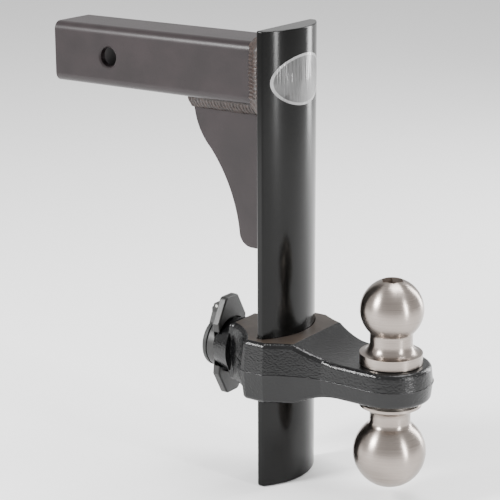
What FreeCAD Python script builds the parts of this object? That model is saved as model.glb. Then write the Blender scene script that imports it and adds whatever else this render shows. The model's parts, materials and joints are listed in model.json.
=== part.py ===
"""Adjustable drop hitch with a reversible two-ball mount, as a parametric FreeCAD document.

Frame: millimetres, +Z up, +X from the towing vehicle to the trailer, origin at the centre of
the hitch-pin bore.  The ball mount stands in its fourth index hole and its knob is unlocked.
"""
import FreeCAD, Part
import math
import os
import re
import Sketcher
from FreeCAD import Placement, Rotation, Vector

doc = FreeCAD.newDocument("DropHitch")

SIZES = {
    # square shank that goes into a 2 inch receiver
    "shank_side": 50.8,
    "shank_wall": 6.35,
    "shank_corner": 7.0,
    "shank_behind_pin": 57.0,
    "pin_to_column": 158.75,
    "pin_bore": 16.66,
    "pin_chamfer": 1.2,
    # crowned column bar with its row of blind index holes
    "column_width": 76.2,
    "column_edge": 5.9,
    "column_depth": 20.6,
    "column_top": 37.3,
    "column_tall": 377.6,
    "column_round": 2.2,
    "index_bore": 17.0,
    "index_deep": 12.6,
    "index_pitch": 25.4,
    "index_above": 2,
    "index_below": 3,
    # gusset plate and weld beads
    "gusset_thick": 12.7,
    "gusset_reach": 86.0,
    "gusset_toe": 38.75,
    "gusset_low": 147.8,
    "bead_leg": 11.6,
    "bead_run": 16.0,
    "bead_side": 8.6,
    "bead_drop": 11.6,
    "bead_small": 6.5,
    # forged ball mount, symmetric about its mid plane
    "mount_drop": 237.3,
    "mount_half": 25.4,
    "mount_wide": 50.6,
    "mount_draft": 6.5,
    "mount_round": 4.2,
    "root_wide": 20.0,
    "root_back": 44.0,
    "arm_start": 33.0,
    "neck_back": 50.0,
    "arm_wide": 33.0,
    "boss_round": 33.7,
    "boss_half": 14.5,
    "ball_reach": 103.6,
    "slide_gap": 0.4,
    "stud_bore": 13.1,
    "collar_round": 21.4,
    "collar_root": 24.7,
    "collar_inner": 17.0,
    "collar_deep": 6.0,
    # balls: 2 inch above, 2 5/16 inch below, one 1 inch stud
    "upper_ball_round": 25.4,
    "upper_ball_rise": 58.6,
    "lower_ball_round": 29.37,
    "lower_ball_fall": 60.9,
    "upper_neck": 17.1,
    "upper_rim": 8.8,
    "lower_neck": 16.4,
    "lower_rim": 2.8,
    "flange_round": 25.2,
    "neck_fillet": 5.0,
    "stud_round": 12.7,
    "stud_rise": 38.0,
    "hex_flats": 16.0,
    "hex_deep": 12.0,
    "washer_thick": 3.2,
    "washer_round": 20.5,
    # lock plunger and its drive
    "plunger_round": 8.0,
    "plunger_long": 21.4,
    "plunger_gap": 0.6,
    "stem_round": 4.5,
    "stem_end": 51.6,
    "lock_travel": 12.0,
    "fit_gap": 0.05,
    "spring_back": 31.0,
    "wall_back": 33.0,
    "hub_round": 13.0,
    "hub_inner": 8.5,
    "cam_pin_round": 2.0,
    "cam_pin_back": 49.0,
    "cam_slot_gap": 0.25,
    "guide_pin_round": 2.0,
    "guide_pin_back": 8.0,
    "retain_pin_round": 1.5,
    "retain_pin_back": 40.0,
    "retain_pin_side": 12.4,
    # knob, its key lock and its dust cap
    "knob_face": 64.0,
    "base_round": 16.5,
    "body_round": 20.6,
    "wing_near": 50.9,
    "wing_far": 57.9,
    "wing_clear": 24.2,
    "wing_span": 42.5,
    "wing_root": 20.0,
    "wing_shoulder": 22.0,
    "wing_tip": 8.2,
    "cylinder_round": 9.5,
    "plug_round": 6.0,
    "cylinder_back": 57.2,
    "crank_arm": 1.75,
    "crank_pin": 1.2,
    "bolt_near": 52.8,
    "bolt_far": 55.2,
    "bolt_half": 6.0,
    "bolt_reach": 15.9,
    "bolt_throw": 3.5,
    "cap_round": 20.6,
    "cap_near": 64.4,
    "cap_far": 69.4,
    "cap_hinge_rise": 33.5,
    "cap_hinge_back": 61.6,
    "cap_barrel": 3.1,
    "cap_pin": 1.2,
    # thin emblem on the crown of the column
    "emblem_low": -24.0,
    "emblem_high": 17.0,
    "emblem_thick": 0.25,
    "emblem_half": 33.0,
}

sheet = doc.addObject("Spreadsheet::Sheet", "Sizes")
for row, (alias, value) in enumerate(SIZES.items(), 1):
    sheet.set("A%d" % row, alias)
    sheet.set("B%d" % row, str(value))
    sheet.setAlias("B%d" % row, alias)
doc.recompute()

WORD = re.compile(r"[a-z][a-z_]*")


def bound(text):
    """The same formula with each of the sheet's names written as FreeCAD wants it."""
    return WORD.sub(lambda m: "Sizes." + m.group() if m.group() in SIZES else m.group(), text)


def size(text):
    """The value, now, of a formula in the sheet's names."""
    return float(sheet.evalExpression(bound(text)))


NODES = {}


def node(thing, label):
    """Record one finished sub-part under its own name."""
    thing.Label = label
    NODES[label] = thing
    return thing


# ---------------------------------------------------------------- sketch and body helpers

def plane_of(body, role):
    return [item for item in body.Origin.OriginFeatures if item.Role == role][0]


def new_sketch(body, role, name, offset="0"):
    sketch = body.newObject("Sketcher::SketchObject", name)
    sketch.AttachmentSupport = [(plane_of(body, role), "")]
    sketch.MapMode = "FlatFace"
    sketch.setExpression("AttachmentOffset.Base.z", bound(offset))
    return sketch


def pin_point(sketch, geometry, end, across, along):
    """The two rules, with their formulas, that hold a point at its place from the origin."""
    rules = []
    for kind, text in (("DistanceX", across), ("DistanceY", along)):
        rules.append((Sketcher.Constraint(kind, -1, 1, geometry, end, size(text)), text))
    return rules


def add_rules(sketch, rules):
    """Add all rules in one solve, then bind those that have a formula."""
    first = sketch.ConstraintCount
    sketch.addConstraint([rule for rule, text in rules])
    for index, (rule, text) in enumerate(rules):
        if text:
            sketch.setExpression("Constraints[%d]" % (first + index), bound(text))


def outline(sketch, corners, arcs=None):
    """Closed outline through corners; arcs maps a side's number to a point on its arc."""
    arcs = arcs or {}
    first = sketch.GeometryCount
    places = [Vector(size(a), size(b), 0) for a, b in corners]
    count = len(places)
    ends = []
    for side in range(count):
        start = places[side]
        finish = places[(side + 1) % count]
        shape = Part.LineSegment(start, finish)
        if side in arcs:
            via = Vector(size(arcs[side][0]), size(arcs[side][1]), 0)
            leftward = (via - start).cross(finish - via).z > 0
            shape = Part.Arc(start, via, finish) if leftward else Part.Arc(finish, via, start)
        sketch.addGeometry(shape, False)
        begins = sketch.Geometry[first + side].StartPoint.distanceToPoint(start) < 1e-6
        ends.append((1, 2) if begins else (2, 1))
    rules = []
    for side in range(count):
        after = (side + 1) % count
        rules.append((Sketcher.Constraint(
            "Coincident", first + side, ends[side][1], first + after, ends[after][0]), None))
    for side, (across, along) in enumerate(corners):
        rules += pin_point(sketch, first + side, ends[side][0], across, along)
    for side, (across, along) in arcs.items():
        mark = sketch.addGeometry(Part.Point(Vector(size(across), size(along), 0)), True)
        rules.append((Sketcher.Constraint("PointOnObject", mark, 1, first + side), None))
        rules += pin_point(sketch, mark, 1, across, along)
    add_rules(sketch, rules)


def circle(sketch, across, along, radius):
    """One circle whose centre and radius are formulas."""
    place = Vector(size(across), size(along), 0)
    ring = sketch.addGeometry(Part.Circle(place, Vector(0, 0, 1), size(radius)), False)
    rules = [(Sketcher.Constraint("Radius", ring, size(radius)), radius)]
    add_rules(sketch, rules + pin_point(sketch, ring, 3, across, along))


def rounded_square(sketch, half, corner):
    """A square about the origin with rounded corners."""
    flat = "(%s - %s)" % (half, corner)
    bulge = "(%s - %s * %.9f)" % (half, corner, 1 - math.sqrt(0.5))
    corners = []
    arcs = {}
    for sx, sy in ((1, 1), (-1, 1), (-1, -1), (1, -1)):
        turn = [("%d * %s" % (sx, half), "%d * %s" % (sy, flat)),
                ("%d * %s" % (sx, flat), "%d * %s" % (sy, half))]
        corners += turn if sx * sy > 0 else turn[::-1]
        arcs[len(corners) - 2] = ("%d * %s" % (sx, bulge), "%d * %s" % (sy, bulge))
    outline(sketch, corners, arcs)


def new_body(name, across="0", up="0"):
    """A PartDesign body placed by formulas in X and Z."""
    body = doc.addObject("PartDesign::Body", name)
    body.setExpression("Placement.Base.x", bound(across))
    body.setExpression("Placement.Base.z", bound(up))
    return body


def pad(body, sketch, length, both_ways=False, taper=None, down=False):
    feature = body.newObject("PartDesign::Pad", "Pad")
    feature.Profile = sketch
    feature.setExpression("Length", bound(length))
    feature.Midplane = both_ways
    feature.Reversed = down
    if taper:
        feature.setExpression("TaperAngle", bound(taper))
    sketch.Visibility = False
    doc.recompute()
    return feature


def pocket(body, sketch, length, both_ways=False, reverse=False):
    """Cut a sketch's outline out of a body, and make sure that it cut something."""
    before = body.Shape.Volume
    feature = body.newObject("PartDesign::Pocket", "Pocket")
    feature.Profile = sketch
    feature.setExpression("Length", bound(length))
    feature.Midplane = both_ways
    feature.Reversed = reverse
    doc.recompute()
    if not body.Shape.Volume < before - 1.0:
        raise ValueError("a pocket in %s cuts nothing" % body.Name)
    return feature


def round_off(body, base, chosen, radius, kind="Fillet"):
    """Fillet or chamfer the edges of a feature for which chosen(edge) is true."""
    names = ["Edge%d" % (i + 1) for i, edge in enumerate(base.Shape.Edges) if chosen(edge)]
    if not names:
        raise ValueError("no edge to round in %s" % body.Name)
    feature = body.newObject("PartDesign::" + kind, kind)
    feature.Base = (base, names)
    feature.setExpression("Radius" if kind == "Fillet" else "Size", bound(radius))
    doc.recompute()
    return feature


# ---------------------------------------------------------------- primitive helpers

ALONG_X = Rotation(Vector(0, 1, 0), 90)
ALONG_Y = Rotation(Vector(1, 0, 0), -90)
UPRIGHT = Rotation()


def primitive(kind, name, across, aside, up, turn=UPRIGHT, **sizes):
    """One Part primitive with its sizes and its place bound to the sheet."""
    thing = doc.addObject("Part::" + kind, name)
    thing.Placement = Placement(Vector(), turn)
    for axis, text in (("x", across), ("y", aside), ("z", up)):
        thing.setExpression("Placement.Base." + axis, bound(text))
    for key, text in sizes.items():
        thing.setExpression(key, bound(text))
    return thing


def rod(name, back, length, radius):
    """A cylinder on the lock axis; back is how far behind the column its start lies."""
    return primitive("Cylinder", name, "pin_to_column - (%s)" % back, "0", "-mount_drop",
                     ALONG_X, Radius=radius, Height=length)


def block(name, back, aside, rise, depth, width, height):
    """A box placed from the lock axis, its low corner back, aside and rise away."""
    return primitive("Box", name, "pin_to_column - (%s)" % back, aside, "-mount_drop + (%s)" % rise,
                     Length=depth, Width=width, Height=height)


def cut(name, base, *tools):
    """base less each tool."""
    for index, tool in enumerate(tools):
        step = doc.addObject("Part::Cut", "%s_%d" % (name, index))
        step.Base = base
        step.Tool = tool
        base = step
    return base


def fuse(name, *shapes):
    thing = doc.addObject("Part::MultiFuse", name)
    thing.Shapes = list(shapes)
    thing.Refine = True
    return thing


def worked(name, shape):
    """A shape made in code from the sheet's sizes."""
    thing = doc.addObject("Part::Feature", name)
    thing.Shape = shape
    return thing


# ---------------------------------------------------------------- drawbar

def make_shank():
    """Square tube with rounded corners and a cross bore for the hitch pin."""
    body = new_body("Shank", "-shank_behind_pin")
    skin = new_sketch(body, "YZ_Plane", "ShankOutside")
    rounded_square(skin, "(shank_side / 2)", "shank_corner")
    pad(body, skin, "shank_behind_pin + pin_to_column")
    inside = new_sketch(body, "YZ_Plane", "ShankInside")
    rounded_square(inside, "(shank_side / 2 - shank_wall)", "(shank_corner / 3)")
    pocket(body, inside, "shank_behind_pin + pin_to_column", reverse=True)
    bore = new_sketch(body, "XZ_Plane", "PinBore")
    circle(bore, "shank_behind_pin", "0", "pin_bore / 2")
    bored = pocket(body, bore, "2 * shank_side", both_ways=True)

    def outer_rim(edge):
        wall = abs(abs(edge.BoundBox.Center.y) - size("shank_side / 2")) < 0.01
        middle = abs(edge.BoundBox.Center.x - size("shank_behind_pin")) < 0.01
        return wall and middle and edge.BoundBox.DiagonalLength < 2 * size("pin_bore")

    round_off(body, bored, outer_rim, "pin_chamfer", "Chamfer")
    return node(body, "shank_tube")


def make_column():
    """Solid bar, flat at the back and crowned in front, with blind holes in its back."""
    body = new_body("Column", "pin_to_column", "column_top - column_tall")
    section = new_sketch(body, "XY_Plane", "ColumnSection")
    half = "column_width / 2"
    outline(section,
            [("0", "-" + half), ("column_edge", "-" + half), ("column_edge", half), ("0", half)],
            {1: ("column_depth", "0")})
    bar = pad(body, section, "column_tall")

    def long_edge(edge):
        return edge.BoundBox.ZLength > size("column_tall") - 1

    softened = round_off(body, bar, long_edge, "column_round")

    def end_edge(edge):
        return edge.BoundBox.ZLength < 0.01

    round_off(body, softened, end_edge, "column_round / 2")
    holes = new_sketch(body, "YZ_Plane", "IndexHoles")
    for step in range(-int(SIZES["index_below"]), int(SIZES["index_above"]) + 1):
        height = "column_tall - column_top - mount_drop + %d * index_pitch" % step
        circle(holes, "0", height, "index_bore / 2")
    pocket(body, holes, "index_deep", reverse=True)
    return node(body, "column_bar")


def make_gusset():
    """Plate under the shank whose free edge sweeps down in an S to a rounded toe."""
    body = new_body("Gusset", "pin_to_column")
    plate = new_sketch(body, "XZ_Plane", "GussetOutline")
    top = "-shank_side / 2"
    outline(plate,
            [("0", top),
             ("-gusset_reach", top),
             ("-gusset_reach + 3.2", "-40"),
             ("-gusset_toe - 29", "-68.5"),
             ("-gusset_toe", "-gusset_low + 11.8"),
             ("-gusset_toe + 12", "-gusset_low"),
             ("0", "-gusset_low")],
            {2: ("-gusset_reach + 7.8", "-54"),
             3: ("-gusset_toe - 10.5", "-98.2"),
             4: ("-gusset_toe + 3.6", "-gusset_low + 3.4")})
    pad(body, plate, "gusset_thick", both_ways=True)
    return node(body, "gusset_plate")


def prism(corners, run, axis):
    """A straight prism: a polygon pushed along axis by run."""
    wire = Part.makePolygon(corners + corners[:1])
    return Part.Face(wire).extrude(axis * run)


def make_welds():
    """Fillet beads: round the shank, under the shank and down the column."""
    back = size("pin_to_column")
    half = size("shank_side / 2")
    leg = size("bead_leg")
    run = size("bead_run")
    small = size("bead_small")
    web = size("gusset_thick / 2")
    low = -size("gusset_low")
    tube = Part.makeBox(4 * run, 2 * half, 2 * half, Vector(back - 3 * run, -half, -half))
    tube = tube.makeFillet(size("shank_corner"),
                           [edge for edge in tube.Edges if edge.BoundBox.XLength > run])
    plate = Part.makeBox(2 * half, 2 * web, 4 * half, Vector(back - 2 * half, -web, -5 * half))

    def ring(offset, place):
        side = half + offset
        corners = [Vector(place, y * side, z * side) for y, z in ((-1, -1), (1, -1), (1, 1), (-1, 1))]
        return Part.makePolygon(corners + corners[:1])

    flare = Part.makeLoft([ring(0.6, back - run), ring(leg * 0.72, back - run * 0.45),
                           ring(leg, back)], True, True)
    around = flare.cut(tube).cut(plate)
    under = []
    down = []
    for side in (-1, 1):
        inner = side * web
        outer = side * (web + small)
        aside = side * (web + size("bead_side"))
        start = back - size("gusset_reach") + 1
        under.append(prism([Vector(start, inner, -half), Vector(start, aside, -half),
                            Vector(start, inner, -half - size("bead_drop"))],
                           size("gusset_reach") - 1, Vector(1, 0, 0)))
        down.append(prism([Vector(back, inner, low + 2), Vector(back, outer, low + 2),
                           Vector(back - small, inner, low + 2)],
                          -low - 2 - half, Vector(0, 0, 1)))
    under = [bead.cut(around) for bead in under]
    down = [bead.cut(around).cut(other) for bead, other in zip(down, under)]
    node(worked("ShankWeld", around), "shank_weld")
    node(worked("GussetShankWeld", Part.makeCompound(under)), "gusset_shank_weld")
    node(worked("GussetColumnWeld", Part.makeCompound(down)), "gusset_column_weld")


def make_emblem():
    """Thin oval emblem that follows the crown of the column."""
    rise = size("column_depth - column_edge")
    wide = size("column_width / 2")
    crown = (wide ** 2 + rise ** 2) / (2 * rise)
    centre = size("pin_to_column + column_depth") - crown
    low = size("emblem_low")
    tall = size("emblem_high") - low
    skin = Part.makeCylinder(crown + size("emblem_thick"), tall, Vector(centre, 0, low))
    core = Part.makeCylinder(crown, tall, Vector(centre, 0, low))
    oval = Part.Face(Part.Wire(Part.Ellipse(
        Vector(centre, size("emblem_half"), low + tall / 2), Vector(centre, 0, low + tall),
        Vector(centre, 0, low + tall / 2)).toShape())).extrude(Vector(2 * crown, 0, 0))
    node(worked("Emblem", skin.cut(core).common(oval)), "emblem_decal")


# ---------------------------------------------------------------- ball mount

def mount_plan(sketch):
    """Half-plane outline mirrored in Y: root of the neck, flared sleeve, tapering arm and boss."""
    reach = "ball_reach"
    side = [
        ("-root_back", "{s}root_wide"),
        ("-root_back + 6", "{s}(root_wide + 0.6)"),
        ("-8", "{s}(mount_wide - 0.8)"),
        ("-4", "{s}mount_wide"),
        ("14", "{s}mount_wide"),
        ("58", "{s}arm_wide"),
        (reach, "{s}boss_round"),
    ]
    lower = [(a, b.format(s="-")) for a, b in side]
    upper = [(a, b.format(s="")) for a, b in side][::-1]
    count = len(side)
    outline(sketch, lower + upper, {
        1: ("-20", "-(root_wide + 13.6)"),
        4: ("32", "-(arm_wide + 7.8)"),
        count - 1: (reach + " + boss_round", "0"),
        2 * count - 6: ("32", "arm_wide + 7.8"),
        2 * count - 3: ("-20", "root_wide + 13.6"),
    })


def above_arm(sketch, sign):
    """What is cut away over (or under) the arm, down to the boss's face."""
    tall = "%s(mount_half + 20)" % sign
    top = "%s(mount_half + 0.05)" % sign
    face = "%sboss_half" % sign
    outline(sketch,
            [("arm_start", tall), ("arm_start", top), ("72", face), ("180", face), ("180", tall)],
            {1: ("arm_start + 16", "%s(boss_half + 4.2)" % sign)})


def make_mount():
    """Forging with draft either side of its parting plane, and its machined cavities."""
    body = new_body("BallMount", "pin_to_column", "-mount_drop")
    for down in (False, True):
        plan = new_sketch(body, "XY_Plane", "MountPlan%d" % down)
        mount_plan(plan)
        forged = pad(body, plan, "mount_half", taper="-mount_draft", down=down)
    for sign in ("", "-"):
        side = new_sketch(body, "XZ_Plane", "ArmSide")
        above_arm(side, sign)
        forged = pocket(body, side, "4 * mount_wide", both_ways=True)

    def rim(edge):
        box = edge.BoundBox
        level = box.ZLength < 0.02 and abs(abs(box.ZMin) - size("mount_half")) < 0.02
        along_arm = abs(box.ZMin) > 1 and box.XMin > size("arm_start - 1")
        across_arm = box.YLength > 50 and box.XLength < 0.5
        return level or along_arm and not across_arm and box.XLength > 0.5

    round_off(body, forged, rim, "mount_round")

    slot = new_sketch(body, "XY_Plane", "ColumnWay", "-2 * mount_half")
    half = "(column_width / 2 + slide_gap)"
    outline(slot,
            [("-slide_gap", "-" + half), ("column_edge + slide_gap", "-" + half),
             ("column_edge + slide_gap", half), ("-slide_gap", half)],
            {1: ("column_depth + slide_gap", "0")})
    pocket(body, slot, "4 * mount_half", reverse=True)
    stud = new_sketch(body, "XY_Plane", "StudBore", "-2 * mount_half")
    circle(stud, "ball_reach", "0", "stud_bore")
    pocket(body, stud, "4 * mount_half", reverse=True)

    collar = primitive("Cone", "Collar", "pin_to_column - neck_back - collar_deep", "0",
                       "-mount_drop", ALONG_X, Radius1="collar_round", Radius2="collar_root",
                       Height="neck_back + collar_deep - root_back + 3")
    eye = rod("CollarEye", "neck_back + collar_deep + 1", "collar_deep + 1", "collar_inner")
    hub_bore = rod("HubBore", "neck_back + 1", "neck_back + 1 - wall_back", "hub_round + fit_gap")
    plunger_bore = rod("PlungerBore", "spring_back", "spring_back", "plunger_round + fit_gap")
    stem_bore = rod("StemBore", "wall_back + 1", "4", "stem_round + fit_gap")
    notches = [
        block("BoltNotchY", "bolt_far + 0.3", "collar_inner - 3", "-bolt_half - 0.3",
              "bolt_far - bolt_near + 0.6", "3 + bolt_reach + bolt_throw + 0.6 - collar_inner",
              "2 * bolt_half + 0.6"),
        block("BoltNotchZ", "bolt_far + 0.3", "-bolt_half - 0.3", "collar_inner - 3",
              "bolt_far - bolt_near + 0.6", "2 * bolt_half + 0.6",
              "3 + bolt_reach + bolt_throw + 0.6 - collar_inner"),
    ]
    guide = primitive("Cylinder", "GuideBore", "pin_to_column - guide_pin_back", "0",
                      "-mount_drop + plunger_round - 1", Radius="guide_pin_round",
                      Height="mount_half")
    retain = primitive("Cylinder", "RetainBore", "pin_to_column - retain_pin_back",
                       "retain_pin_side", "-mount_drop - 16", Radius="retain_pin_round",
                       Height="mount_half + 20")
    whole = fuse("MountWithCollar", body, collar)
    finished = cut("MountCut", whole, eye, hub_bore, plunger_bore, stem_bore, *notches,
                   guide, retain)
    return node(finished, "ball_mount_body")


def ball_profile(sketch, sign, base, rim, neck, centre, radius):
    """Half outline of a ball and its flange, turned about Z; sign is -1 below the mount."""
    def up(text):
        return "%s(%s)" % (sign, text)

    shoulder = "%s + %s" % (base, rim)
    flare = "(flange_round - %s)" % neck
    reach = size(radius) + size("neck_fillet")
    across = size(neck) + size("neck_fillet")
    down = math.sqrt(reach ** 2 - across ** 2)
    share = size(radius) / reach
    turn = (math.pi + math.atan2(down, -across)) / 2
    bend = math.sqrt(0.5)
    outline(sketch,
            [("0", up(base)),
             ("flange_round - 0.6", up(base)),
             ("flange_round", up("%s + 0.6" % base)),
             ("flange_round", up(shoulder)),
             (neck, up("%s + %s" % (shoulder, flare))),
             (neck, up("%s - %.12f" % (centre, down))),
             ("%.12f" % (across * share), up("%s - %.12f" % (centre, down * share))),
             ("0", up("%s + %s" % (centre, radius)))],
            {3: ("%s + %s * %.12f" % (neck, flare, 1 - bend),
                 up("%s + %s * %.12f" % (shoulder, flare, 1 - bend))),
             5: ("%.12f" % (across + size("neck_fillet") * math.cos(turn)),
                 up("%s - %.12f" % (centre, down - size("neck_fillet") * math.sin(turn)))),
             6: ("%s * %.12f" % (radius, math.cos(math.radians(8))),
                 up("%s + %s * %.12f" % (centre, radius, math.sin(math.radians(8)))))})


def turned(body, sketch):
    """Revolve a body's sketch once about the sketch's upright axis."""
    feature = body.newObject("PartDesign::Revolution", "Revolution")
    feature.Profile = sketch
    feature.ReferenceAxis = (sketch, ["V_Axis"])
    feature.Angle = 360
    doc.recompute()
    return feature


def make_balls():
    """Upper ball with a blind tapped hole and a hex key socket; lower ball with the stud."""
    centre = "pin_to_column + ball_reach"
    upper = new_body("UpperBall", centre, "-mount_drop")
    shape = new_sketch(upper, "XZ_Plane", "UpperProfile")
    ball_profile(shape, "", "boss_half", "upper_rim", "upper_neck", "upper_ball_rise",
                 "upper_ball_round")
    turned(upper, shape)
    tapped = new_sketch(upper, "XY_Plane", "TappedHole", "boss_half")
    circle(tapped, "0", "0", "stud_round")
    pocket(upper, tapped, "stud_rise - boss_half + 1", reverse=True)
    socket = new_sketch(upper, "XY_Plane", "HexSocket",
                        "upper_ball_rise + upper_ball_round - hex_deep")
    reach = "hex_flats / 2 / %.9f" % math.cos(math.pi / 6)
    outline(socket, [("%s * %.9f" % (reach, math.cos(math.radians(60 * k + 6))),
                      "%s * %.9f" % (reach, math.sin(math.radians(60 * k + 6))))
                     for k in range(6)])
    pocket(upper, socket, "2 * hex_deep", reverse=True)
    node(upper, "upper_ball")

    lower = new_body("LowerBall", centre, "-mount_drop")
    shape = new_sketch(lower, "XZ_Plane", "LowerProfile")
    ball_profile(shape, "-", "boss_half + washer_thick", "lower_rim", "lower_neck",
                 "lower_ball_fall", "lower_ball_round")
    turned(lower, shape)
    stud = new_sketch(lower, "XY_Plane", "Stud", "-boss_half - washer_thick - 1")
    circle(stud, "0", "0", "stud_round - fit_gap")
    pad(lower, stud, "stud_rise + boss_half + washer_thick + 1")
    node(lower, "lower_ball")

    ring = primitive("Cylinder", "WasherDisc", centre, "0",
                     "-mount_drop - boss_half - washer_thick", Radius="washer_round",
                     Height="washer_thick")
    eye = primitive("Cylinder", "WasherEye", centre, "0",
                    "-mount_drop - boss_half - washer_thick - 1", Radius="stud_round + 0.3",
                    Height="washer_thick + 2")
    split = primitive("Box", "WasherSplit", centre + " - 24", "-1",
                      "-mount_drop - boss_half - washer_thick - 1", Length="24", Width="2",
                      Height="washer_thick + 2")
    node(cut("Washer", ring, eye, split), "ball_lock_washer")


# ---------------------------------------------------------------- lock

def make_plunger():
    """Lock plunger: nose, guide slot, stem and the cross pin that the knob's cam drives."""
    start = "(plunger_gap + plunger_long)"
    nose = rod("Nose", start, "plunger_long", "plunger_round")
    bevel = doc.addObject("Part::Chamfer", "NoseBevel")
    bevel.Base = nose
    doc.recompute()
    tip = max(range(len(nose.Shape.Edges)),
              key=lambda index: nose.Shape.Edges[index].BoundBox.Center.x)
    bevel.Edges = [(tip + 1, 1.5, 1.5)]
    stem = rod("Stem", "stem_end", "stem_end - plunger_gap - 2", "stem_round")
    rear = block("GuideSlot", start + " + 1", "-guide_pin_round - 0.1", "plunger_round - 3",
                 "%s + 1 - guide_pin_back + guide_pin_round + 0.3" % start,
                 "2 * guide_pin_round + 0.2", "4")
    eye = primitive("Cylinder", "CamPinEye", "pin_to_column - cam_pin_back", "0",
                    "-mount_drop - 10", Radius="cam_pin_round", Height="20")
    node(cut("Plunger", fuse("PlungerBlank", bevel, stem), rear, eye), "lock_plunger")
    reach = "(hub_round - 1.2)"
    node(primitive("Cylinder", "CamPin", "pin_to_column - cam_pin_back", "0",
                   "-mount_drop - " + reach, Radius="cam_pin_round", Height="2 * " + reach),
         "cam_pin")


def make_spring():
    """Compression spring between the plunger's nose and the wall behind it."""
    wire = 0.7
    turns = 4
    steps = 20
    start = size("pin_to_column - spring_back") + wire + 0.05
    length = size("spring_back - plunger_gap - plunger_long") - 2 * wire - 0.1
    coil = size("plunger_round") - 0.35 - wire
    path = []
    for step in range(turns * steps + 1):
        angle = 2 * math.pi * step / steps
        path.append(Vector(coil * math.cos(angle), coil * math.sin(angle),
                           length * step / (turns * steps)))
    ring = Part.Wire(Part.makeCircle(wire, path[0], path[1] - path[0]).Edges)
    mitred = 1
    spring = Part.Wire(Part.makePolygon(path).Edges).makePipeShell([ring], True, False, mitred)
    part = worked("Spring", spring)
    part.Placement = Placement(Vector(start, 0, size("-mount_drop")), ALONG_X)
    node(part, "plunger_spring")


def make_pins():
    """Split spring pins: one guides the plunger, one keeps the knob's hub in its bore."""
    for name, label, back, aside, low, high, radius in (
            ("GuidePin", "guide_roll_pin", "guide_pin_back", "0", "plunger_round - 2.6",
             "mount_half - 0.6", "guide_pin_round"),
            ("RetainPin", "knob_retaining_pin", "retain_pin_back", "retain_pin_side", "-16",
             "mount_half - 3", "retain_pin_round")):
        place = ("pin_to_column - " + back, aside, "-mount_drop + " + low)
        outer = primitive("Cylinder", name, *place, Radius=radius + " - 0.02",
                          Height="%s - (%s)" % (high, low))
        inner = primitive("Cylinder", name + "Eye", *place, Radius=radius + " * 0.55",
                          Height="mount_half * 3")
        gap = primitive("Box", name + "Gap", place[0], "%s - 0.25" % aside, place[2],
                        Length="4", Width="0.5", Height="mount_half * 3")
        node(cut(name + "Split", outer, inner, gap), label)


def knob_wing(sign):
    """One flat tapering wing of the knob, above or below its body."""
    near = size("pin_to_column - wing_near")
    root = size("wing_root")
    shoulder = size("wing_shoulder")
    tip = size("wing_tip")
    span = size("wing_span")
    corners = [Vector(near, y, sign * z) for y, z in (
        (-root * 0.92, 9), (root * 0.92, 9), (root, shoulder), (tip, span), (-tip, span),
        (-root, shoulder))]
    wing = prism(corners, size("wing_far - wing_near"), Vector(-1, 0, 0))
    tips = [edge for edge in wing.Edges
            if edge.BoundBox.XLength > 2 and abs(edge.BoundBox.Center.z) > shoulder + 5]
    wing = wing.makeFillet(4.6, tips)
    rims = [edge for edge in wing.Edges
            if edge.BoundBox.XLength < 0.1 and abs(edge.BoundBox.Center.z) > 9.5]
    wing = wing.makeFillet(1.4, rims)
    return wing.cut(lock_rod("neck_back + collar_deep + 0.4", "2 * collar_deep", "wing_clear"))


def lock_rod(back, length, radius):
    """A cylinder shape on the lock axis, its axis at height zero."""
    return Part.makeCylinder(size(radius), size(length),
                             Vector(size("pin_to_column - (%s)" % back), 0, 0), Vector(1, 0, 0))


def helical_slot():
    """Cutter for the hub's cam slots: the cross pin's path while the knob turns 90 degrees."""
    steps = 18
    radius = size("cam_pin_round + cam_slot_gap")
    reach = size("hub_round") + 0.5
    pins = []
    for step in range(steps + 1):
        share = step / steps
        ahead = size("pin_to_column - cam_pin_back") + share * size("lock_travel")
        angle = math.radians(-90 * share)
        aim = Vector(0, -math.sin(angle), math.cos(angle))
        pins.append(Part.makeCylinder(radius, 2 * reach, Vector(ahead, 0, 0) - aim * reach, aim))
    return pins[0].multiFuse(pins[1:])


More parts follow.
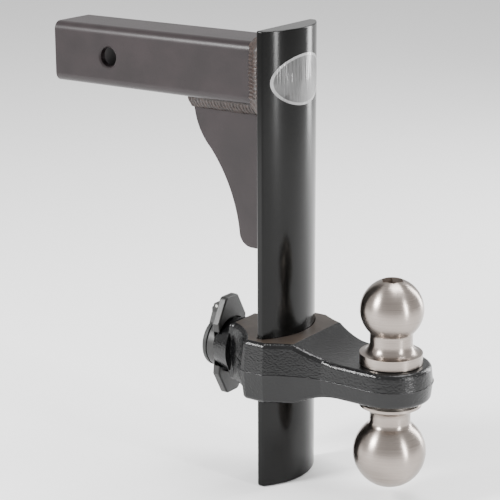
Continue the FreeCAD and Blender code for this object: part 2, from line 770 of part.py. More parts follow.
def make_knob():
    """Quarter-turn knob: cam hub in the neck, base disc, two wings, lock housing, cap lugs."""
    base = lock_rod("neck_back + collar_deep + 1", "collar_deep + 0.6", "base_round")
    hub = lock_rod("neck_back + 1", "neck_back + 1 - wall_back - 0.3", "hub_round")
    housing = lock_rod("knob_face", "knob_face - neck_back - collar_deep - 0.3", "body_round")
    housing = housing.makeFillet(1.5, [edge for edge in housing.Edges
                                       if edge.BoundBox.XMax < size("pin_to_column - knob_face") + 0.1
                                       and edge.BoundBox.YLength > 10])
    lugs = []
    hinge = Vector(size("pin_to_column - cap_hinge_back"), 0, size("cap_hinge_rise"))
    for side in (-1, 1):
        lug = Part.makeCylinder(size("cap_barrel"), 2.6,
                                hinge + Vector(0, side * 6.9 - 1.3, 0), Vector(0, 1, 0))
        foot = Part.makeBox(size("cap_hinge_back - wing_far") + 1, 2.6, 2 * size("cap_barrel"),
                            hinge + Vector(0.0, side * 6.9 - 1.3, -size("cap_barrel")))
        lugs.append(lug.fuse(foot))
    knob = base.multiFuse([hub, housing, knob_wing(1), knob_wing(-1)] + lugs).removeSplitter()

    groove_outer = lock_rod("retain_pin_back + 1.7", "3.4", "hub_round + 1")
    groove_inner = lock_rod("retain_pin_back + 2", "4", "retain_pin_side - retain_pin_round - 0.15")
    hollow = lock_rod("stem_end + 0.7", "stem_end + 0.7", "hub_inner")
    cylinder_well = lock_rod("knob_face + 1", "knob_face + 1 - bolt_far - 0.2", "cylinder_round")
    low = Vector(size("pin_to_column - bolt_far - 0.2"), -6.3, -size("bolt_half") - 0.1)
    channel = Part.makeBox(size("bolt_far - bolt_near + 0.4"), 30, 2 * size("bolt_half") + 0.2, low)
    pin = Part.makeCylinder(size("cap_pin"), 30, hinge - Vector(0, 15, 0), Vector(0, 1, 0))
    for tool in (groove_outer.cut(groove_inner), hollow, helical_slot(), cylinder_well, channel, pin):
        knob = knob.cut(tool)
    part = worked("Knob", knob)
    part.Placement = Placement(Vector(0, 0, size("-mount_drop")), UPRIGHT)
    node(part, "lock_knob")


def make_key_lock():
    """Key cylinder, its plug, the cam behind the plug and the bolt that the cam throws."""
    long = "knob_face - 0.4 - cylinder_back"
    shell = rod("CylinderShell", "knob_face - 0.4", long, "cylinder_round")
    well = rod("PlugWell", "knob_face + 1", long + " + 3", "plug_round + fit_gap")
    node(cut("Cylinder", shell, well), "lock_cylinder")
    plug = rod("PlugBlank", "knob_face - 0.4", long, "plug_round")
    keyway = block("Keyway", "knob_face", "-0.6", "-3.6", "5", "1.2", "7.2")
    node(cut("Plug", plug, keyway), "key_plug")
    disc = rod("CamDisc", "cylinder_back", "cylinder_back - bolt_far - 0.35", "plug_round")
    crank = primitive("Cylinder", "CamCrank", "pin_to_column - cylinder_back + 0.5",
                      "-crank_arm", "-mount_drop - crank_arm", ALONG_X, Radius="crank_pin",
                      Height="cylinder_back - 0.5 - bolt_near - 0.3")
    node(fuse("Cam", disc, crank), "lock_cam")
    bar = block("BoltBar", "bolt_far", "-6", "-bolt_half", "bolt_far - bolt_near",
                "6 + bolt_reach", "2 * bolt_half")
    slot = block("BoltSlot", "bolt_far + 1", "-crank_arm - crank_pin - 0.16",
                 "-crank_arm * 1.4143 - crank_pin - 0.3", "bolt_far - bolt_near + 2",
                 "2 * crank_pin + 0.32", "crank_arm * 0.4143 + 2 * crank_pin + 0.6")
    round_end = rod("BoltRound", "bolt_far + 1", "6", "bolt_reach")
    shaped = doc.addObject("Part::Common", "BoltEnd")
    shaped.Base = cut("Bolt", bar, slot)
    shaped.Tool = round_end
    node(shaped, "lock_bolt")


def make_cap():
    """Flip-up dust cap over the key cylinder, with a tongue that ends in a hinge barrel."""
    hinge = Vector(size("pin_to_column - cap_hinge_back"), 0, size("cap_hinge_rise"))
    deep = size("cap_far - cap_near")
    disc = lock_rod("cap_far", "cap_far - cap_near", "cap_round")
    disc = disc.makeFillet(3.2, [edge for edge in disc.Edges
                                 if edge.BoundBox.XMax < size("pin_to_column - cap_far") + 0.1
                                 and edge.BoundBox.YLength > 10])
    outer = size("pin_to_column - cap_far")
    neck = hinge.z - 2.2 * size("cap_barrel")
    tongue = prism([Vector(outer + 0.9, -12, 12), Vector(outer + 0.9, 12, 12),
                    Vector(outer + 0.9, 5.2, neck), Vector(outer + 0.9, -5.2, neck)],
                   deep - 0.9, Vector(1, 0, 0))
    arm = prism([Vector(outer + 0.9, -5.2, neck - 1), Vector(hinge.x - 1, -5.2, neck - 1),
                 Vector(hinge.x, -5.2, hinge.z - 1), Vector(hinge.x, -5.2, hinge.z + 3.1),
                 Vector(hinge.x - 1.6, -5.2, hinge.z + 2.6), Vector(outer + 0.9, -5.2, hinge.z - 3)],
                10.4, Vector(0, 1, 0))
    barrel = Part.makeCylinder(size("cap_barrel"), 10.4, hinge - Vector(0, 5.2, 0), Vector(0, 1, 0))
    pin = Part.makeCylinder(size("cap_pin + fit_gap"), 30, hinge - Vector(0, 15, 0), Vector(0, 1, 0))
    recess = lock_rod("cap_near + 1.4", "3", "cylinder_round + 1.5")
    cap = disc.multiFuse([tongue, arm, barrel]).cut(pin).cut(recess).removeSplitter()
    part = worked("Cap", cap)
    part.Placement = Placement(Vector(0, 0, size("-mount_drop")), UPRIGHT)
    node(part, "dust_cap")
    node(primitive("Cylinder", "CapPin", "pin_to_column - cap_hinge_back", "-8.2",
                   "-mount_drop + cap_hinge_rise", ALONG_Y, Radius="cap_pin", Height="16.4"),
         "dust_cap_hinge_pin")


# ---------------------------------------------------------------- build, test and write

def main():
    for step in (make_shank, make_column, make_gusset, make_welds, make_emblem, make_mount,
                 make_balls, make_plunger, make_spring, make_pins, make_knob, make_key_lock,
                 make_cap):
        step()
    doc.recompute()
    for thing in doc.Objects:
        if "Invalid" in thing.State or "Error" in thing.State:
            raise ValueError("%s failed: %s" % (thing.Label, thing.State))
    os.makedirs("parts", exist_ok=True)
    for label, thing in NODES.items():
        shape = thing.Shape
        if shape.isNull() or not shape.isValid() or not shape.Solids:
            raise ValueError("%s has no valid shape" % label)
        shape.exportStep(os.path.join("parts", label + ".step"))
        print("%-22s %2d solid  %9.0f mm3" % (label, len(shape.Solids), shape.Volume))


main()
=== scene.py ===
"""Looks of the adjustable drop hitch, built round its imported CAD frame.  Metres, +Z up."""
import json
import math
import bmesh
import bpy
from mathutils import Matrix, Vector, noise


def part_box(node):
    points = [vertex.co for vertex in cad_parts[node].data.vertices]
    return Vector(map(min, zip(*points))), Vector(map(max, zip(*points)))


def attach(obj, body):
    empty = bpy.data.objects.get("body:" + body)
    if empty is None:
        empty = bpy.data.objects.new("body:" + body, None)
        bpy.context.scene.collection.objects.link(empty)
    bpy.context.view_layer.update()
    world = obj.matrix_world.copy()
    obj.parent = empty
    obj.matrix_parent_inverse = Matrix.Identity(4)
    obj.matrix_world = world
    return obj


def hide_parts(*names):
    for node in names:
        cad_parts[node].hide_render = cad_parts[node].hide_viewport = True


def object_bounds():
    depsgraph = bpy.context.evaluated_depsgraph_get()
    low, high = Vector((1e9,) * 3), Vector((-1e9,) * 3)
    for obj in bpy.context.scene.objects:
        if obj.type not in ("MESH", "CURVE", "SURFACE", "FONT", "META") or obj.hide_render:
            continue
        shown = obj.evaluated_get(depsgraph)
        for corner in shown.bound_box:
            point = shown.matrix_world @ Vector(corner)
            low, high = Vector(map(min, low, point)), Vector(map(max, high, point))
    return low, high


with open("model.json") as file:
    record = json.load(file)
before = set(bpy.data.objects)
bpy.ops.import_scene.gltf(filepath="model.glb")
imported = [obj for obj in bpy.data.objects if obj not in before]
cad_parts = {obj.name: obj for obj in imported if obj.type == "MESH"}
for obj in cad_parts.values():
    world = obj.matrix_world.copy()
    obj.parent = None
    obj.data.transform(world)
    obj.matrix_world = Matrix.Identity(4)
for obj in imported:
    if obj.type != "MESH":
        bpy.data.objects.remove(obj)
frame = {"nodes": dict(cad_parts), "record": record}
cad_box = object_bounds()
NODES = frame["nodes"]
MM = 0.001


def corners(node):
    """A node's box as two vectors."""
    low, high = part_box(node)
    return Vector(low), Vector(high)


# ---------------------------------------------------------------- material helpers

class Shader:
    """A material's node tree, with short ways to add and join nodes.

    Noise scales are in cells per metre, and bump depths are in metres.
    """

    def __init__(self, name):
        self.material = bpy.data.materials.new(name)
        self.material.use_nodes = True
        self.tree = self.material.node_tree
        self.surface = self.tree.nodes["Principled BSDF"]

    def add(self, kind, **values):
        item = self.tree.nodes.new("ShaderNode" + kind)
        for key, value in values.items():
            if key in item.inputs:
                item.inputs[key].default_value = value
            else:
                setattr(item, key, value)
        return item

    def link(self, source, target):
        self.tree.links.new(source, target)

    def set(self, **values):
        """Constants on the surface's own sockets; underscores stand for spaces."""
        for key, value in values.items():
            self.surface.inputs[key.replace("_", " ")].default_value = value

    def noise(self, scale, detail=2.0, stretch=(1, 1, 1), rough=0.5):
        """Noise from 0 to 1 in the object's own coordinates, squeezed along each axis by stretch."""
        place = self.add("TexCoord")
        spread = self.add("Mapping", Scale=stretch)
        self.link(place.outputs["Object"], spread.inputs["Vector"])
        grain = self.add("TexNoise", Scale=scale, Detail=detail, Roughness=rough)
        self.link(spread.outputs["Vector"], grain.inputs["Vector"])
        return grain.outputs["Fac"]

    def ramp(self, source, stops):
        """A colour ramp through (place, colour) stops."""
        ramp = self.add("ValToRGB")
        elements = ramp.color_ramp.elements
        while len(elements) < len(stops):
            elements.new(0.5)
        for element, (place, colour) in zip(elements, stops):
            element.position = place
            element.color = (*colour, 1)
        self.link(source, ramp.inputs["Fac"])
        return ramp.outputs["Color"]

    def spread(self, source, low, high):
        """source, from 0 to 1, as a number from low to high."""
        span = self.add("MapRange")
        span.inputs["To Min"].default_value = low
        span.inputs["To Max"].default_value = high
        self.link(source, span.inputs["Value"])
        return span.outputs["Result"]

    def mix(self, share, first, second):
        """first where share is 0 and second where it is 1; both are colours, or both are normals."""
        kind = "VECTOR" if first.type == "VECTOR" else "RGBA"
        blend = self.add("Mix", data_type=kind)
        self.link(share, blend.inputs["Factor"])
        for key, value in (("A", first), ("B", second)):
            port = [socket for socket in blend.inputs if socket.name == key and socket.type == kind][0]
            self.link(value, port)
        return [socket for socket in blend.outputs if socket.type == kind][0]

    def math(self, operation, first, second=None):
        """One sum over numbers or sockets."""
        step = self.add("Math", operation=operation)
        for index, value in enumerate((first, second)):
            if value is None:
                continue
            if isinstance(value, (int, float)):
                step.inputs[index].default_value = value
            else:
                self.link(value, step.inputs[index])
        return step.outputs[0]

    def bump(self, source, depth, before=None):
        """Bump of a real depth in metres, over an earlier bump where there is one."""
        bump = self.add("Bump", Strength=1.0, Distance=depth)
        self.link(source, bump.inputs["Height"])
        if before:
            self.link(before, bump.inputs["Normal"])
        return bump.outputs["Normal"]

    def finish(self, colour=None, rough=None, normal=None):
        """Joins the sockets to the surface and gives back the material."""
        for socket, name in ((colour, "Base Color"), (rough, "Roughness"), (normal, "Normal")):
            if socket:
                self.link(socket, self.surface.inputs[name])
        return self.material


def frame_coat():
    """Satin black powder coat, slightly warm, with fine orange peel."""
    s = Shader("satin_powder_coat")
    cloud = s.noise(38, 3)
    colour = s.ramp(cloud, [(0.3, (0.0125, 0.0092, 0.0098)), (0.7, (0.0195, 0.0142, 0.0152))])
    rough = s.spread(s.noise(900, 2), 0.30, 0.46)
    s.set(Specular_IOR_Level=0.3)
    peel = s.bump(s.noise(620, 2), 0.00006)
    return s.finish(colour, rough, s.bump(s.noise(2600, 1), 0.00001, peel))


def weld_coat():
    """The same powder coat over rough weld metal, with browner patches scattered at random."""
    s = Shader("coated_weld")
    spots = s.noise(420, 4)
    colour = s.ramp(spots, [(0.35, (0.030, 0.015, 0.010)), (0.62, (0.0125, 0.0085, 0.0075))])
    rough = s.spread(s.noise(700, 3), 0.30, 0.62)
    return s.finish(colour, rough, s.bump(s.noise(1300, 4), 0.00022))


def column_coat():
    """Deep gloss black with very fine orange peel."""
    s = Shader("gloss_powder_coat")
    tones = [(0.35, (0.0016, 0.0016, 0.0015)), (0.7, (0.0030, 0.0030, 0.0028))]
    colour = s.ramp(s.noise(22, 2), tones)
    rough = s.spread(s.noise(420, 2), 0.14, 0.20)
    s.set(Specular_IOR_Level=0.2)
    return s.finish(colour, rough, s.bump(s.noise(520, 2), 0.000018))


FLAT_NORMAL = 0.985
MACHINED_DEPTH = 0.6 * MM


def forging_coat():
    """Gloss black over pebbled forging; the faces machined flat are browner and satin."""
    s = Shader("forging_coat")
    low, high = corners("ball_mount_body")
    place = s.add("TexCoord")
    split = s.add("SeparateXYZ")
    s.link(place.outputs["Object"], split.inputs[0])
    geometry = s.add("NewGeometry")
    facing = s.add("SeparateXYZ")
    s.link(geometry.outputs["Normal"], facing.inputs[0])
    level = s.math("ABSOLUTE", facing.outputs["Z"])
    middle = (low.z + high.z) / 2
    half = (high.z - low.z) / 2
    height = s.math("ABSOLUTE", s.math("SUBTRACT", split.outputs["Z"], middle))
    on_face = s.math("MULTIPLY", s.math("GREATER_THAN", level, FLAT_NORMAL),
                     s.math("GREATER_THAN", height, half - MACHINED_DEPTH))
    worn = s.ramp(s.noise(60, 5), [(0.3, (0.017, 0.0125, 0.0095)), (0.7, (0.034, 0.025, 0.019))])
    deep = s.ramp(s.noise(30, 2), [(0.3, (0.0022, 0.0022, 0.0024)), (0.7, (0.0045, 0.0045, 0.0047))])
    colour = s.mix(on_face, deep, worn)
    duller = s.math("MULTIPLY", on_face, 0.26)
    rough = s.math("ADD", s.spread(s.noise(300, 3), 0.13, 0.24), duller)
    s.set(Specular_IOR_Level=0.34)
    pebble = s.bump(s.noise(620, 2), 0.0004)
    machined = s.bump(s.noise(900, 2), 0.00004)
    return s.finish(colour, rough, s.mix(on_face, pebble, machined))


def ball_steel():
    """Turned stainless steel: fine rings about the ball's axis over a warm grey."""
    s = Shader("turned_stainless")
    rings = s.noise(1.0, 4, stretch=(4, 4, 6500), rough=0.7)
    broad = s.noise(1.0, 3, stretch=(9, 9, 2400), rough=0.6)
    colour = s.ramp(broad, [(0.3, (0.27, 0.233, 0.208)), (0.7, (0.345, 0.303, 0.272))])
    rough = s.spread(rings, 0.22, 0.34)
    s.set(Metallic=1.0, Anisotropic=0.72, Anisotropic_Rotation=0.25)
    tangent = s.add("Tangent", direction_type="RADIAL", axis="Z")
    s.link(tangent.outputs[0], s.surface.inputs["Tangent"])
    return s.finish(colour, rough, s.bump(rings, 0.000006))


def bare_metal(name, dark, light, low, high):
    """Plated or oiled steel with faint mottling."""
    s = Shader(name)
    colour = s.ramp(s.noise(240, 3), [(0.3, dark), (0.7, light)])
    s.set(Metallic=1.0)
    return s.finish(colour, s.spread(s.noise(700, 3), low, high), s.bump(s.noise(1500, 2), 0.00001))


def knob_coat():
    """Matte black coat over a die casting."""
    s = Shader("knob_coat")
    tones = [(0.3, (0.0052, 0.0052, 0.0050)), (0.7, (0.0100, 0.0096, 0.0090))]
    colour = s.ramp(s.noise(45, 3), tones)
    rough = s.spread(s.noise(500, 3), 0.36, 0.52)
    return s.finish(colour, rough, s.bump(s.noise(850, 3), 0.00008))


def cap_rubber():
    """Dull black rubber with a faint bloom."""
    s = Shader("cap_rubber")
    tones = [(0.3, (0.0046, 0.0050, 0.0046)), (0.75, (0.0090, 0.0096, 0.0088))]
    colour = s.ramp(s.noise(60, 4), tones)
    rough = s.spread(s.noise(300, 3), 0.5, 0.68)
    s.set(Sheen_Weight=0.12, Sheen_Roughness=0.5)
    return s.finish(colour, rough, s.bump(s.noise(1700, 2), 0.00003))


def badge_film(name, dark, light, rough):
    """Clear-coated film between two greys."""
    s = Shader(name)
    colour = s.ramp(s.noise(160, 3), [(0.3, (dark,) * 3), (0.7, (light,) * 3)])
    s.set(Coat_Weight=0.6, Coat_Roughness=0.08)
    return s.finish(colour, s.spread(s.noise(400, 2), rough, rough + 0.08), s.bump(s.noise(700, 2), 0.00001))


# ---------------------------------------------------------------- mesh helpers

def new_piece(name, mesh, material, body):
    """A smooth piece that rides on a body and takes the given material."""
    thing = bpy.data.objects.new(name, mesh)
    bpy.context.collection.objects.link(thing)
    mesh.materials.append(material)
    mesh.shade_smooth()
    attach(thing, body)
    return thing


def loft(name, rows, ring):
    """A mesh through closed rows of points, joined end to end as a ring or capped at both ends."""
    mesh = bpy.data.meshes.new(name)
    bm = bmesh.new()
    grid = [[bm.verts.new(point) for point in row] for row in rows]
    count = len(grid)
    width = len(grid[0])
    for i in range(count if ring else count - 1):
        for j in range(width):
            a, b = grid[i], grid[(i + 1) % count]
            bm.faces.new((a[j], b[j], b[(j + 1) % width], a[(j + 1) % width]))
    if not ring:
        bm.faces.new(grid[0])
        bm.faces.new(grid[-1][::-1])
    bmesh.ops.recalc_face_normals(bm, faces=bm.faces)
    bm.to_mesh(mesh)
    bm.free()
    return mesh


# ---------------------------------------------------------------- weld beads

RIPPLE = 3.1 * MM
BEAD_STEPS = 12
BEAD_SINK = 0.4 * MM
BEAD_INSET = 0.2 * MM
BEAD_CORNER = 7 * MM
BEAD_CORNER_STEPS = 16
BEAD_SHARE = 0.98


def bead_rows(path, leg_out, leg_in):
    """Cross sections of a rippled fillet bead, each a quarter round with crescent ripples.

    path is a list of (root point, direction off the first wall, direction off the second).
    """
    rows = []
    travelled = 0.0
    last = path[0][0]
    for root, off_first, off_second in path:
        travelled += (root - last).length
        last = root
        row = [root - (off_first + off_second) * BEAD_SINK]
        for k in range(BEAD_STEPS + 1):
            turn = math.pi / 2 * k / BEAD_STEPS
            lag = 0.55 * math.sin(2 * turn)
            phase = (travelled / RIPPLE + lag) % 1.0
            scallop = 1.0 - (2 * phase - 1) ** 2
            grain = noise.noise(root * 900 + off_first * k) * 0.05
            wander = 1 + 0.07 * noise.noise(root * 160)
            reach = wander * (0.86 + 0.10 * scallop + grain)
            bulge = 1 - 0.17 * math.sin(2 * turn) ** 2
            row.append(root + off_first * (math.cos(turn) * leg_out * reach * bulge)
                       + off_second * (math.sin(turn) * leg_in * reach * bulge))
        rows.append(row)
    return rows


def run(start, finish, step=0.45 * MM):
    """Points evenly along a straight line."""
    count = max(2, int((finish - start).length / step))
    return [start.lerp(finish, k / count) for k in range(count)]


def shank_weld(material):
    """The bead that goes round the shank where it meets the column."""
    low, high = corners("shank_tube")
    bead_low, bead_high = corners("shank_weld")
    back = corners("column_bar")[0].x
    side = (high.z - low.z) / 2 - BEAD_INSET
    axis = Vector((-1, 0, 0))
    path = []
    for quarter in range(4):
        centre_angle = math.pi / 2 * quarter
        out = Vector((0, math.cos(centre_angle), math.sin(centre_angle)))
        along = Vector((0, -math.sin(centre_angle), math.cos(centre_angle)))
        first = Vector((back, 0, 0)) + out * side - along * (side - BEAD_CORNER)
        second = Vector((back, 0, 0)) + out * side + along * (side - BEAD_CORNER)
        for point in run(first, second):
            path.append((point, out, axis))
        hub = second - out * BEAD_CORNER
        for k in range(BEAD_CORNER_STEPS):
            turn = math.pi / 2 * k / BEAD_CORNER_STEPS
            direction = out * math.cos(turn) + along * math.sin(turn)
            path.append((hub + direction * BEAD_CORNER, direction, axis))
    rows = bead_rows(path, (bead_high.z - high.z) * BEAD_SHARE, (back - bead_low.x) * BEAD_SHARE)
    mesh = loft("shank_weld_bead", rows, ring=True)
    piece = new_piece("shank_weld_bead", mesh, material, "drawbar")
    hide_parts("shank_weld")


def straight_weld(name, node, lines, across, down, material):
    """Straight beads, one for each (start, finish, two directions), that stand for one CAD node."""
    for index, (start, finish, off_first, off_second) in enumerate(lines):
        path = [(point, off_first, off_second) for point in run(start, finish)]
        mesh = loft(name, bead_rows(path, across, down), ring=False)
        piece = new_piece("%s_%d" % (name, index), mesh, material, "drawbar")
        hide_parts(node)


def gusset_welds(material):
    """Beads on both sides of the gusset, under the shank and down the column."""
    plate_low, plate_high = corners("gusset_plate")
    shank_low = corners("shank_tube")[0].z
    column_back = corners("column_bar")[0].x
    bead_low, bead_high = corners("gusset_shank_weld")
    leg = bead_high.z - bead_low.z
    reach = bead_high.y - plate_high.y
    column_low, column_high = corners("gusset_column_weld")
    under = []
    down = []
    for side in (-1, 1):
        face = plate_high.y if side > 0 else plate_low.y
        out = Vector((0, side, 0))
        under.append((Vector((bead_low.x + 0.5 * MM, face, shank_low)),
                      Vector((column_back - 5 * MM, face, shank_low)), out, Vector((0, 0, -1))))
        down.append((Vector((column_back, face, plate_low.z + 3 * MM)),
                     Vector((column_back, face, shank_low - 4 * MM)), out, Vector((-1, 0, 0))))
    straight_weld("gusset_shank_bead", "gusset_shank_weld", under, reach, leg, material)
    straight_weld("gusset_column_bead", "gusset_column_weld", down,
                  column_high.y - plate_high.y, column_back - column_low.x, material)


# ---------------------------------------------------------------- forging

SEAM_RADIUS = 0.55 * MM
SEAM_WAVER = 0.35
BOSS_REACH = 20 * MM
NECK_SIDE = 19 * MM
NECK_END = 16 * MM
WALL_CLEAR = 2 * MM


def chains(edges):
    """Runs of joined points through edges, each from a loose end where it has one."""
    links = {}
    for edge in edges:
        for one, other in (edge.verts, reversed(edge.verts)):
            links.setdefault(one, []).append(other)
    left = dict.fromkeys(links)
    found = []
    while left:
        here = next((vert for vert in left if len(links[vert]) == 1), next(iter(left)))
        chain = []
        while here:
            del left[here]
            chain.append(here.co.copy())
            here = next((vert for vert in links[here] if vert in left), None)
        found.append(chain)
    return found


def parting_line(material):
    """The raised seam round the forging's outside at mid height."""
    mount = NODES["ball_mount_body"]
    low, high = corners("ball_mount_body")
    column_low, column_high = corners("column_bar")
    ball_low, ball_high = corners("upper_ball")
    level = (low.z + high.z) / 2
    stud = (ball_low + ball_high) / 2
    bm = bmesh.new()
    bm.from_mesh(mount.data)
    bm.transform(mount.matrix_world)
    cut = bmesh.ops.bisect_plane(bm, geom=bm.verts[:] + bm.edges[:] + bm.faces[:],
                                 plane_co=(0, 0, level), plane_no=(0, 0, 1))["geom_cut"]

    def outside(point):
        """Whether a point of the cut is on an outer wall, not in the stud hole, sleeve or neck."""
        if point.x > column_high.x + WALL_CLEAR:
            return math.hypot(point.x - stud.x, point.y - stud.y) > BOSS_REACH
        if point.x > column_low.x - 1 * MM:
            return abs(point.y) > column_high.y + WALL_CLEAR
        return abs(point.y) > NECK_SIDE and point.x > low.x + NECK_END

    edges = [edge for edge in cut if isinstance(edge, bmesh.types.BMEdge)
             and all(outside(vert.co) for vert in edge.verts)]
    seam = bpy.data.curves.new("parting_line", "CURVE")
    seam.dimensions = "3D"
    seam.bevel_depth = SEAM_RADIUS
    seam.bevel_resolution = 2
    for chain in chains(edges):
        if len(chain) < 3:
            continue
        spline = seam.splines.new("POLY")
        spline.points.add(len(chain) - 1)
        for point, place in zip(spline.points, chain):
            point.co = (*place, 1)
            point.radius = 1 + SEAM_WAVER * noise.noise(place * 140)
    bm.free()
    thing = bpy.data.objects.new("parting_line", seam)
    bpy.context.collection.objects.link(thing)
    seam.materials.append(material)
    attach(thing, "ball_mount")


# ---------------------------------------------------------------- badge

COLUMN_EDGE = 5.9 * MM
PATCH_STRIP = 2 * MM
FILM_THICK = 0.08 * MM


def crown_place(y, z, lift):
    """A point on the column's crowned front, lift above its surface."""
    low, high = corners("column_bar")
    half = (high.y - low.y) / 2
    rise = (high.x - low.x) - COLUMN_EDGE
    radius = (half ** 2 + rise ** 2) / (2 * rise)
    middle = high.x - radius
    turn = math.asin(max(-1, min(1, y / radius)))
    return Vector((middle + (radius + lift) * math.cos(turn), (radius + lift) * math.sin(turn), z))


def crown_patch(name, outline, lift, material, replaced=None):
    """A thin film on the crown with a closed outline of (y, z) points."""
    mesh = bpy.data.meshes.new(name)
    bm = bmesh.new()
    flat = [bm.verts.new((0, y, z)) for y, z in outline]
    bm.faces.new(flat)
    bmesh.ops.triangulate(bm, faces=bm.faces)
    strips = [round(y / PATCH_STRIP) for y, z in outline]
    for k in range(min(strips), max(strips) + 1):
        bmesh.ops.bisect_plane(bm, geom=bm.verts[:] + bm.edges[:] + bm.faces[:],
                               plane_co=(0, k * PATCH_STRIP, 0), plane_no=(0, 1, 0))
    for vert in bm.verts:
        vert.co = crown_place(vert.co.y, vert.co.z, lift)
    bmesh.ops.recalc_face_normals(bm, faces=bm.faces)
    if sum(face.normal.x for face in bm.faces) < 0:
        bmesh.ops.reverse_faces(bm, faces=bm.faces)
    bm.to_mesh(mesh)
    bm.free()
    piece = new_piece(name, mesh, material, "drawbar")
    thick = piece.modifiers.new("thick", "SOLIDIFY")
    thick.thickness = FILM_THICK
    thick.offset = 1
    if replaced:
        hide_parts(replaced)


def oval(half_y, half_z, middle_z, steps=96):
    """Points (y, z) round an upright oval."""
    turns = [2 * math.pi * k / steps for k in range(steps)]
    return [(half_y * math.cos(turn), middle_z + half_z * math.sin(turn)) for turn in turns]


def badge():
    """A blank badge: a plain grey oval with a darker field, and nothing drawn on it."""
    low, high = corners("emblem_decal")
    half_y = (high.y - low.y) / 2
    half_z = (high.z - low.z) / 2
    middle = (low.z + high.z) / 2
    edge = badge_film("badge_edge", 0.20, 0.26, 0.3)
    field = badge_film("badge_field", 0.045, 0.06, 0.35)
    crown_patch("badge_film", oval(half_y, half_z, middle), 0.02 * MM, edge, "emblem_decal")
    crown_patch("badge_field", oval(half_y * 0.93, half_z * 0.90, middle), 0.10 * MM, field)


# ---------------------------------------------------------------- put it together

def dress():
    """Gives every CAD node a material, and gives back the finishes by slot."""
    zinc = bare_metal("zinc_plate", (0.48, 0.48, 0.46), (0.62, 0.61, 0.57), 0.26, 0.42)
    spring = bare_metal("spring_steel", (0.16, 0.155, 0.15), (0.26, 0.25, 0.24), 0.30, 0.45)
    chrome = bare_metal("lock_chrome", (0.62, 0.62, 0.62), (0.74, 0.74, 0.74), 0.10, 0.2)
    brass = bare_metal("lock_brass", (0.45, 0.33, 0.13), (0.62, 0.47, 0.2), 0.2, 0.34)
    satin = frame_coat()
    finish = {
        "frame_coat": satin,
        "column_coat": column_coat(),
        "forging_coat": forging_coat(),
        "ball_steel": ball_steel(),
        "zinc": zinc,
        "spring_steel": spring,
        "knob_coat": knob_coat(),
        "chrome_lock": chrome,
        "brass_lock": brass,
        "cap_rubber": cap_rubber(),
        "emblem": satin,
    }
    for part in frame["record"]["subparts"]:
        node = NODES[part["node"]]
        for slot in node.material_slots:
            slot.material = finish[part["material_slot"]]
        if not node.material_slots:
            node.data.materials.append(finish[part["material_slot"]])
    return finish


WORLD = 0.85
# name, azimuth and elevation it shines from (degrees), distance (m), width, height (m), power (W)
LIGHTS = (
    ("key_panel", -30, 30, 1.5, 0.34, 0.5, 42),
    ("back_strip", 160, 12, 1.5, 0.35, 1.2, 22),
    ("front_strip", 84, 12, 1.8, 0.14, 1.1, 26),
    ("top_panel", 150, 74, 1.8, 0.9, 0.9, 40),
)
FLOOR_REACH = 9.0
FLOOR_GAP = 0.5 * MM


def away(azimuth, elevation):
    """The direction out from the object; azimuth 0 is towards -Y and 90 towards +X."""
    turn = math.radians(azimuth)
    rise = math.radians(elevation)
    return Vector((math.sin(turn) * math.cos(rise), -math.cos(turn) * math.cos(rise), math.sin(rise)))


def floor():
    """A pale matte floor just under the object."""
    mesh = bpy.data.meshes.new("floor")
    square = [(x * FLOOR_REACH, y * FLOOR_REACH, 0) for x, y in ((-1, -1), (1, -1), (1, 1), (-1, 1))]
    mesh.from_pydata(square, [], [(0, 1, 2, 3)])
    thing = bpy.data.objects.new("floor", mesh)
    thing.location.z = Vector(cad_box[0]).z - FLOOR_GAP
    bpy.context.collection.objects.link(thing)
    pale = Shader("pale_floor")
    colour = pale.ramp(pale.noise(0.6, 2), [(0.3, (0.93, 0.93, 0.93)), (0.7, (0.95, 0.95, 0.95))])
    mesh.materials.append(pale.finish(colour, pale.spread(pale.noise(3, 2), 0.85, 0.95)))


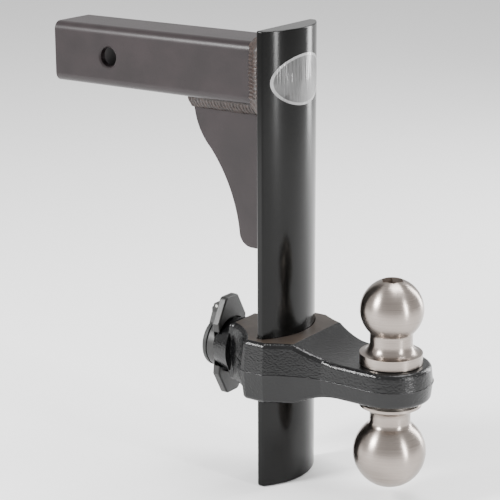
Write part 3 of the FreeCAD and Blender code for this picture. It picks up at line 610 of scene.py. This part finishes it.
def studio():
    """An even white surround and soft panels aimed at the object's middle."""
    world = bpy.data.worlds.new("studio")
    bpy.context.scene.world = world
    world.use_nodes = True
    surround = world.node_tree.nodes["Background"]
    surround.inputs["Color"].default_value = (1, 1, 1, 1)
    surround.inputs["Strength"].default_value = WORLD
    low, high = (Vector(corner) for corner in cad_box)
    aim = Vector(((low.x + high.x) / 2, 0, (low.z + high.z) / 2))
    for name, azimuth, elevation, distance, wide, tall, power in LIGHTS:
        panel = bpy.data.lights.new(name, "AREA")
        panel.shape = "RECTANGLE"
        panel.size = wide
        panel.size_y = tall
        panel.energy = power
        lamp = bpy.data.objects.new(name, panel)
        bpy.context.collection.objects.link(lamp)
        side = away(azimuth, elevation)
        lamp.location = aim + side * distance
        lamp.rotation_euler = side.to_track_quat("Z", "Y").to_euler()


CAMERA_AZIMUTH = 35.1
CAMERA_ELEVATION = 16.02
CAMERA_ROLL = -0.23
CAMERA_DISTANCE = 1.4554
CAMERA_LENS = 126.9
SENSOR_WIDTH = 36
AIM_BEHIND_COLUMN = 32.8 * MM
AIM_BELOW_TOP = 189.5 * MM


def camera():
    """Seen from the trailer's side and a little above."""
    top = Vector(cad_box[1]).z
    aim = Vector((corners("column_bar")[0].x - AIM_BEHIND_COLUMN, 0, top - AIM_BELOW_TOP))
    side = away(CAMERA_AZIMUTH, CAMERA_ELEVATION)
    facing = side.to_track_quat("Z", "Y").to_matrix().to_4x4()
    roll = Matrix.Rotation(math.radians(CAMERA_ROLL), 4, "Z")
    data = bpy.data.cameras.new("camera")
    data.lens = CAMERA_LENS
    data.sensor_width = SENSOR_WIDTH
    thing = bpy.data.objects.new("camera", data)
    bpy.context.collection.objects.link(thing)
    thing.matrix_world = Matrix.Translation(aim + side * CAMERA_DISTANCE) @ facing @ roll
    bpy.context.scene.camera = thing


finishes = dress()
weld_finish = weld_coat()
shank_weld(weld_finish)
gusset_welds(weld_finish)
parting_line(finishes["forging_coat"])
badge()
floor()
studio()
camera()
